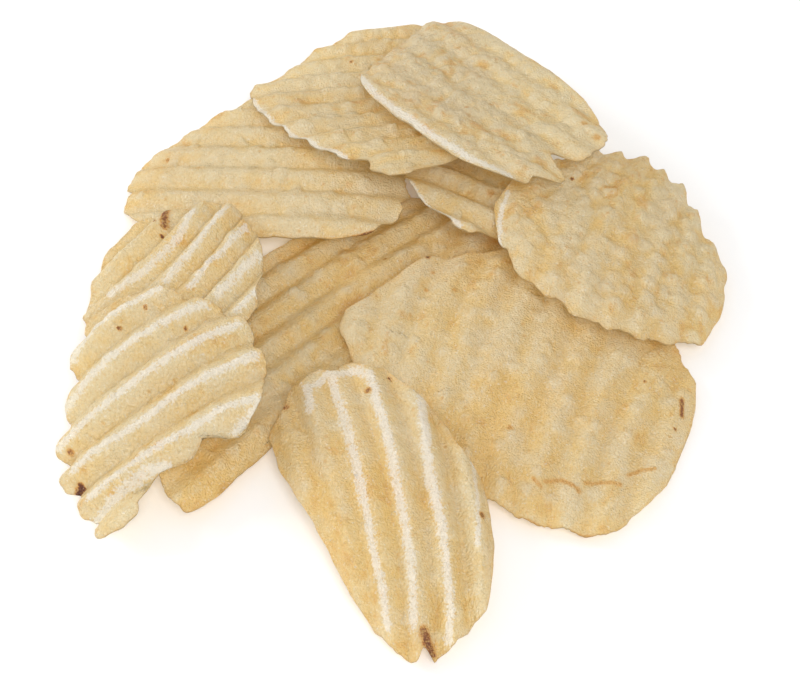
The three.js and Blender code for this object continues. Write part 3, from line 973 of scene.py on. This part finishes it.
        # The frying turns thin and low places golden first, in clouds and streaks along the ridges.
        fry = self.frying
        colour_at = side * self.side_step + Layer.COLOUR
        streaky = graph.vector(seeded_along * self.streak_squeeze, seeded_line, colour_at)
        clouds = graph.noise(streaky, self.cloud_size, 2.0, 0.55)
        patches = graph.noise(streaky, self.patch_size, 3.0, 0.62)
        flecks = graph.noise(streaky, self.fleck_size, 2.0, 0.6)
        gold = clouds * fry.gold_clouds + patches * fry.gold_patches + flecks * fry.gold_flecks
        gold = gold + wave * fry.gold_crests + crinkle * fry.gold_crinkles + blister * fry.gold_blisters
        gold = (gold + given.goldness + self.number(graph, "golden")).step_up(*fry.gold_rise)
        blotch = patches + clouds * fry.toast_clouds + flecks * fry.toast_flecks
        blotch = (blotch + given.blistering * fry.toast_blistering).step_up(*fry.toast_rise)

        # The slice is bent both ways, and the lift stands square to the bent sheet.
        across = line + along.squared() * given.bow * 0.5 + along * line * given.fan
        bowl = along.squared() * given.bend_along * 0.5 + across.squared() * given.bend_across * 0.5
        bowl = bowl + along * across * given.twist
        slope_along = given.bend_along * along + given.twist * across
        slope_across = given.bend_across * across + given.twist * along
        upright = graph.vector(-slope_along, -slope_across, 1.0)
        normal = graph.field("ShaderNodeVectorMath", {0: upright}, operation="NORMALIZE")
        lifted = graph.field("ShaderNodeVectorMath", {0: normal, "Scale": lift}, operation="SCALE")
        feeds = {0: graph.vector(along, across, bowl), 1: lifted}
        shaped = graph.field("ShaderNodeVectorMath", feeds, operation="ADD")

        mesh = Field(graph, entry.outputs["Sheet"])
        mesh = self.keep(mesh, "slice_at", layer_at(0.0, self.side_step), "FLOAT_VECTOR")
        mesh = self.keep(mesh, "gold", gold)
        mesh = self.keep(mesh, "blotch", blotch)
        for kind, feeds in (
            ("GeometryNodeSetPosition", {"Position": shaped}),
            ("GeometryNodeSetShadeSmooth", {}),
            ("GeometryNodeRealizeInstances", {}),
            ("GeometryNodeSetMaterial", {"Material": entry.outputs["Finish"]}),
        ):
            mesh = graph.field(kind, {"Geometry": mesh, **feeds})
        graph.node("NodeGroupOutput", {"Slice": mesh})

    def settings(self, cut: Slice) -> dict[SliceInput, float]:
        """The tree's inputs for one slice."""
        return {
            SliceInput.BEND_ALONG: cut.bend.along,
            SliceInput.BEND_ACROSS: cut.bend.across,
            SliceInput.TWIST: cut.bend.twist,
            SliceInput.BOW: cut.bow,
            SliceInput.FAN: cut.fan,
            SliceInput.PITCH: cut.pitch,
            SliceInput.FIRST_RIDGE: cut.first_ridge,
            SliceInput.FIRST_HEIGHT: cut.height[0],
            SliceInput.LAST_HEIGHT: cut.height[1],
            SliceInput.FIRST_LINE: cut.first_tip[0],
            SliceInput.LAST_LINE: cut.last_tip[0],
            SliceInput.BLISTERING: cut.blistering,
            SliceInput.GOLDNESS: cut.goldness,
            SliceInput.CREASE: cut.crease,
            SliceInput.SEED: cut.seed,
        }

    def shape(self, sheet: bpy.types.Object, cut: Slice, finish: bpy.types.Material) -> bpy.types.Mesh:
        """Runs the tree on one flat sheet.

        Args:
            sheet: the flat sheet's object, which is removed afterwards.
            cut: the slice it becomes.
            finish: the material it gets.

        Returns:
            The shaped mesh, in slice millimetres.
        """
        modifier = sheet.modifiers.new("ridged_slice", "NODES")
        modifier.node_group = self.tree
        for name, value in self.settings(cut).items():
            modifier[self.inputs[name]] = float(value)
        modifier[self.material_input] = finish
        graph = bpy.context.evaluated_depsgraph_get()
        mesh = bpy.data.meshes.new_from_object(sheet.evaluated_get(graph), depsgraph=graph)
        sheet.modifiers.remove(modifier)
        flat = sheet.data
        bpy.data.objects.remove(sheet)
        bpy.data.meshes.remove(flat)
        return mesh


# ------------------------------------------------------------ the finish


def mix(graph: Graph, share: Value, a: Colour | Field, b: Colour | Field) -> Field:
    """A colour between two colours.

    Args:
        graph: the graph that gets the step.
        share: how much of the second colour there is.
        a: the first colour.
        b: the second one.

    Returns:
        The mixed colour.
    """
    # The sockets for colours have the same names as those for numbers, so they are told apart by number.
    feeds: Feeds = {"Factor": share}
    for number, colour in ((6, a), (7, b)):
        feeds[number] = colour if isinstance(colour, Field) else (*colour, 1.0)
    node = graph.node("ShaderNodeMix", feeds, data_type="RGBA", clamp_factor=True)
    return Field(graph, node.outputs[2])


@dataclass(frozen=True)
class Mottling:
    """The shared node group for the colours of fried flesh, from pale cream to burnt, with white painted
    highlights.
    """

    pale: Colour = (0.87, 0.765, 0.515)
    golden: Colour = (0.90, 0.67, 0.27)
    toasted: Colour = (0.76, 0.47, 0.16)
    brown: Colour = (0.36, 0.13, 0.045)
    burnt: Colour = (0.18, 0.055, 0.025)
    highlight_white: Colour = (1.0, 0.985, 0.90)
    grain_size: float = 0.34
    fleck_size: float = 1.0
    grain_flecks: float = 0.35
    gold_flecks: float = 0.4
    gold_grains: float = 0.3
    toasting: float = 0.6
    freckle_size: float = 2.1
    freckle_rise: Pair = (0.18, 0.06)
    freckle_pick: Pair = (0.82, 0.98)
    freckling: float = 0.8
    rim_rise: Pair = (0.6, 0.05)
    rim_flecks: float = 2.0
    rim_toast: float = 0.4
    dark_rise: Pair = (-0.02, -0.3)
    dark_grains_and_pit_shade: float = 0.55
    light_rise: Pair = (0.02, 0.3)
    light_grains_and_glints: float = 0.5
    highlight_paint: float = 1.25
    highlight_grains: float = 2.0
    highlight_flecks: float = 0.8
    highlight_rise: Pair = (0.3, 1.05)
    scorch_grains: float = 3.0
    scorch_rises: tuple[Pair, ...] = ((0.0, 0.35), (0.3, 0.65), (0.65, 1.05))

    def make(self) -> bpy.types.NodeTree:
        """Builds the group.

        Returns:
            A shader group with the slice's attributes in, and the colour out.
        """
        tree = bpy.data.node_groups.new("mottling", "ShaderNodeTree")
        add_socket(tree, "Place", "INPUT", "NodeSocketVector")
        for name in CARRIED:
            add_socket(tree, name, "INPUT", "NodeSocketFloat", 0.0)
        add_socket(tree, "Colour", "OUTPUT", "NodeSocketColor")
        graph = Graph(tree)
        entry = graph.node("NodeGroupInput")
        place = Field(graph, entry.outputs["Place"])
        gold, blotch, edge, browned, highlight_paint = (Field(graph, entry.outputs[name]) for name in CARRIED)
        flecks = graph.noise(place, self.fleck_size, 2.0, 0.6)
        grains = graph.noise(place, self.grain_size, 1.0, 0.6) + flecks * self.grain_flecks

        share = gold + flecks * self.gold_flecks + grains * self.gold_grains
        colour = mix(graph, share, self.pale, self.golden)
        colour = mix(graph, blotch * self.toasting, colour, self.toasted)
        freckles = graph.cells(place, self.freckle_size)
        freckle = Field(graph, freckles.outputs["Distance"]).step_up(*self.freckle_rise)
        rare = graph.first_of(freckles.outputs["Color"]).step_up(*self.freckle_pick)
        colour = mix(graph, freckle * rare * self.freckling, colour, self.toasted)
        rim = edge.step_up(*self.rim_rise) * (flecks * self.rim_flecks + self.rim_toast)
        colour = mix(graph, rim, colour, self.toasted)
        # Partly the flesh's own speckle, partly painted light: darker grains stand in for shade in tiny
        # pits and lighter ones for glints on bubbles.
        colour = mix(graph, grains.step_up(*self.dark_rise) * self.dark_grains_and_pit_shade, colour, self.toasted)
        colour = mix(graph, grains.step_up(*self.light_rise) * self.light_grains_and_glints, colour, self.highlight_white)
        # Painted highlight: the highlight marks, broken up by the grains, are whitened to stand in for the
        # shine on lit crests and rims.
        highlight_share = highlight_paint * self.highlight_paint + grains * self.highlight_grains + flecks * self.highlight_flecks
        colour = mix(graph, highlight_share.step_up(*self.highlight_rise), colour, self.highlight_white)
        scorch = browned * (grains * self.scorch_grains + 1.0)
        for rise, tone in zip(self.scorch_rises, (self.toasted, self.brown, self.burnt)):
            colour = mix(graph, scorch.step_up(*rise), colour, tone)
        graph.node("NodeGroupOutput", {"Colour": colour})
        return tree


@dataclass(frozen=True)
class FineGrain:
    """The shared node group for the fine bubbly grain of a fried surface."""

    grit_size: float = 0.3
    sheen_size: float = 1.6

    def make(self) -> bpy.types.NodeTree:
        """Builds the group.

        Returns:
            A shader group with Place in, and Height and Dullness out.
        """
        tree = bpy.data.node_groups.new("fine_grain", "ShaderNodeTree")
        add_socket(tree, "Place", "INPUT", "NodeSocketVector")
        add_socket(tree, "Height", "OUTPUT", "NodeSocketFloat")
        add_socket(tree, "Dullness", "OUTPUT", "NodeSocketFloat")
        graph = Graph(tree)
        entry = graph.node("NodeGroupInput")
        place = Field(graph, entry.outputs["Place"])
        height = graph.noise(place, self.grit_size, 1.0)
        dullness = graph.noise(place, self.sheen_size, 1.0)
        graph.node("NodeGroupOutput", {"Height": height, "Dullness": dullness})
        return tree


@dataclass(frozen=True)
class FriedPotato:
    """The finish of the fried slices, which some light passes through."""

    name: str = "fried_potato_finish"
    roughness: float = 0.3
    dullness: float = 0.3
    refraction: float = 1.45
    shine: float = 1.0
    grit: float = 0.45
    see_through: float = 0.41
    toasting: float = 0.6
    brown_rise: Pair = (0.1, 0.4)
    burnt_rise: Pair = (0.35, 0.8)
    through_pale: Colour = (1.0, 0.92, 0.69)
    through_golden: Colour = (1.0, 0.81, 0.40)
    through_toasted: Colour = (0.90, 0.58, 0.20)
    through_burnt: Colour = (0.06, 0.012, 0.006)

    def attribute(self, graph: Graph, name: str, output: str = "Fac") -> Field:
        """A value that the mesh carries."""
        node = graph.node("ShaderNodeAttribute", attribute_name=name)
        return Field(graph, node.outputs[output])

    def make(self) -> bpy.types.Material:
        """Builds the material with its two shared groups.

        Returns:
            The material.
        """
        material = bpy.data.materials.new(self.name)
        material.use_nodes = True
        tree = material.node_tree
        tree.nodes.clear()
        graph = Graph(tree)
        place = self.attribute(graph, "slice_at", "Vector")
        carried = {name: self.attribute(graph, name.lower()) for name in CARRIED}
        colours = graph.node("ShaderNodeGroup", {"Place": place, **carried}, node_tree=Mottling().make())
        fine = graph.node("ShaderNodeGroup", {"Place": place}, node_tree=FineGrain().make())
        feeds = {"Distance": self.grit * MM, "Height": fine.outputs["Height"]}
        bump = graph.node("ShaderNodeBump", feeds)

        shader = graph.node("ShaderNodeBsdfPrincipled", {
            "Base Color": colours.outputs["Colour"],
            "Roughness": Field(graph, fine.outputs["Dullness"]) * self.dullness + self.roughness,
            "Normal": bump.outputs["Normal"],
            "IOR": self.refraction,
            "Specular IOR Level": self.shine,
        })
        tint = mix(graph, carried["Gold"], self.through_pale, self.through_golden)
        tint = mix(graph, carried["Blotch"] * self.toasting, tint, self.through_toasted)
        tint = mix(graph, carried["Browned"].step_up(*self.brown_rise), tint, self.through_toasted)
        tint = mix(graph, carried["Browned"].step_up(*self.burnt_rise), tint, self.through_burnt)
        through = graph.node("ShaderNodeBsdfTranslucent", {"Color": tint})
        feeds = {"Fac": self.see_through, 1: shader.outputs["BSDF"], 2: through.outputs["BSDF"]}
        both = graph.node("ShaderNodeMixShader", feeds)
        graph.node("ShaderNodeOutputMaterial", {"Surface": both.outputs["Shader"]})
        return material


# ------------------------------------------------------------ the heap


@dataclass
class Crisp:
    """One crisp of the heap, which stands for its node."""

    cut: Slice
    piece: bpy.types.Object | None = None

    def build(self, tree: RidgedSliceTree, finish: bpy.types.Material) -> None:
        """Shapes the slice and puts it in its place.

        Args:
            tree: the tree that shapes slices.
            finish: the slice's material.
        """
        sheet = SliceSheet(self.cut).build()
        mesh = tree.shape(sheet, self.cut, finish)
        mesh.transform(self.cut.matrix())
        mesh.name = self.cut.node + "_fried"
        self.piece = add_object(mesh.name, mesh)

    def dress(self) -> None:
        """Ties the piece to the frame."""
        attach(self.piece, ROOT_BODY)
        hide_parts(self.cut.node)


@dataclass
class Heap:
    """All the crisps."""

    crisps: list[Crisp] = field(default_factory=list)

    def build(self) -> None:
        """Makes every crisp."""
        tree = RidgedSliceTree()
        tree.build()
        finish = FriedPotato().make()
        for cut in SLICES:
            crisp = Crisp(cut)
            crisp.build(tree, finish)
            crisp.dress()
            self.crisps.append(crisp)
            log.info("%s: %d faces", crisp.piece.name, len(crisp.piece.data.polygons))


# ------------------------------------------------------------ the studio


@dataclass(frozen=True)
class Lamp:
    """A round soft light: the way it comes from, its distance and width in m, and its power in W."""

    name: str
    way: Triple
    distance: float
    size: float
    power: float
    colour: Colour = (1.0, 0.99, 0.97)

    def build(self) -> None:
        """Hangs the light, facing the heap."""
        data = bpy.data.lights.new(self.name, "AREA")
        data.shape = "DISK"
        data.size = self.size
        data.energy = self.power
        data.color = self.colour
        lamp = add_object(self.name, data)
        away = Vector(self.way).normalized()
        lamp.location = away * self.distance
        lamp.rotation_mode = "QUATERNION"
        lamp.rotation_quaternion = away.to_track_quat("Z", "Y")


@dataclass
class Studio:
    """The pale floor, the soft lights and the camera, placed in mm; the floor's size is in m."""

    target: Triple = (-1.35, -14.4, 6.0)
    distance: float = 260.0
    elevation: float = 50.0
    lens: float = 72.54
    floor_size: float = 3.0
    floor_drop: float = 0.1
    floor_colour: Colour = (0.90, 0.90, 0.905)
    floor_roughness: float = 0.9
    floor_shine: float = 0.1
    glow_colour: Colour = (1.0, 0.97, 0.93)
    floor_glow: float = 0.1
    sky: float = 0.62
    lamps: tuple[Lamp, ...] = (
        Lamp("key", (-0.86, 0.36, 0.42), 0.7, 0.3, 2.4),
        Lamp("fill", (0.16, -0.62, 0.77), 0.8, 0.4, 3.3),
    )
    light_bounces: int = 10

    def build_floor(self) -> None:
        """A large matt floor just under the heap."""
        half = self.floor_size / 2
        height = -self.floor_drop * MM
        mesh = bpy.data.meshes.new("floor")
        signs = ((-1, -1), (1, -1), (1, 1), (-1, 1))
        mesh.from_pydata([(x * half, y * half, height) for x, y in signs], [], [(0, 1, 2, 3)])
        material = bpy.data.materials.new("floor_matt")
        material.use_nodes = True
        inputs = material.node_tree.nodes["Principled BSDF"].inputs
        inputs["Base Color"].default_value = (*self.floor_colour, 1.0)
        inputs["Roughness"].default_value = self.floor_roughness
        inputs["Specular IOR Level"].default_value = self.floor_shine
        inputs["Emission Color"].default_value = (*self.glow_colour, 1.0)
        inputs["Emission Strength"].default_value = self.floor_glow
        mesh.materials.append(material)
        floor = add_object("floor", mesh)

    def build_lights(self) -> None:
        """An even sky, and the soft lights from behind on the left and from the front."""
        world = bpy.data.worlds.new("sky")
        world.use_nodes = True
        background = world.node_tree.nodes["Background"]
        background.inputs["Color"].default_value = (1.0, 1.0, 1.0, 1.0)
        background.inputs["Strength"].default_value = self.sky
        bpy.context.scene.world = world
        for lamp in self.lamps:
            lamp.build()

    def build_camera(self) -> None:
        """A camera that looks down on the heap from the front."""
        data = bpy.data.cameras.new("camera")
        data.lens = self.lens
        data.clip_start = 0.01
        data.clip_end = 10.0
        camera = add_object("camera", data)
        angle = math.radians(self.elevation)
        back = Vector((0.0, -math.cos(angle), math.sin(angle)))
        camera.location = (Vector(self.target) + back * self.distance) * MM
        camera.rotation_mode = "QUATERNION"
        camera.rotation_quaternion = back.to_track_quat("Z", "Y")
        bpy.context.scene.camera = camera

    def build(self) -> None:
        """Sets up the whole studio."""
        self.build_camera()
        self.build_floor()
        self.build_lights()
        bpy.context.scene.view_settings.view_transform = "Standard"
        bpy.context.scene.cycles.diffuse_bounces = self.light_bounces


def main() -> None:
    """Builds the studio and the heap."""
    logging.basicConfig(level=logging.INFO, format="%(name)s: %(message)s")
    Studio().build()
    Heap().build()


if __name__ == "__main__":
    main()
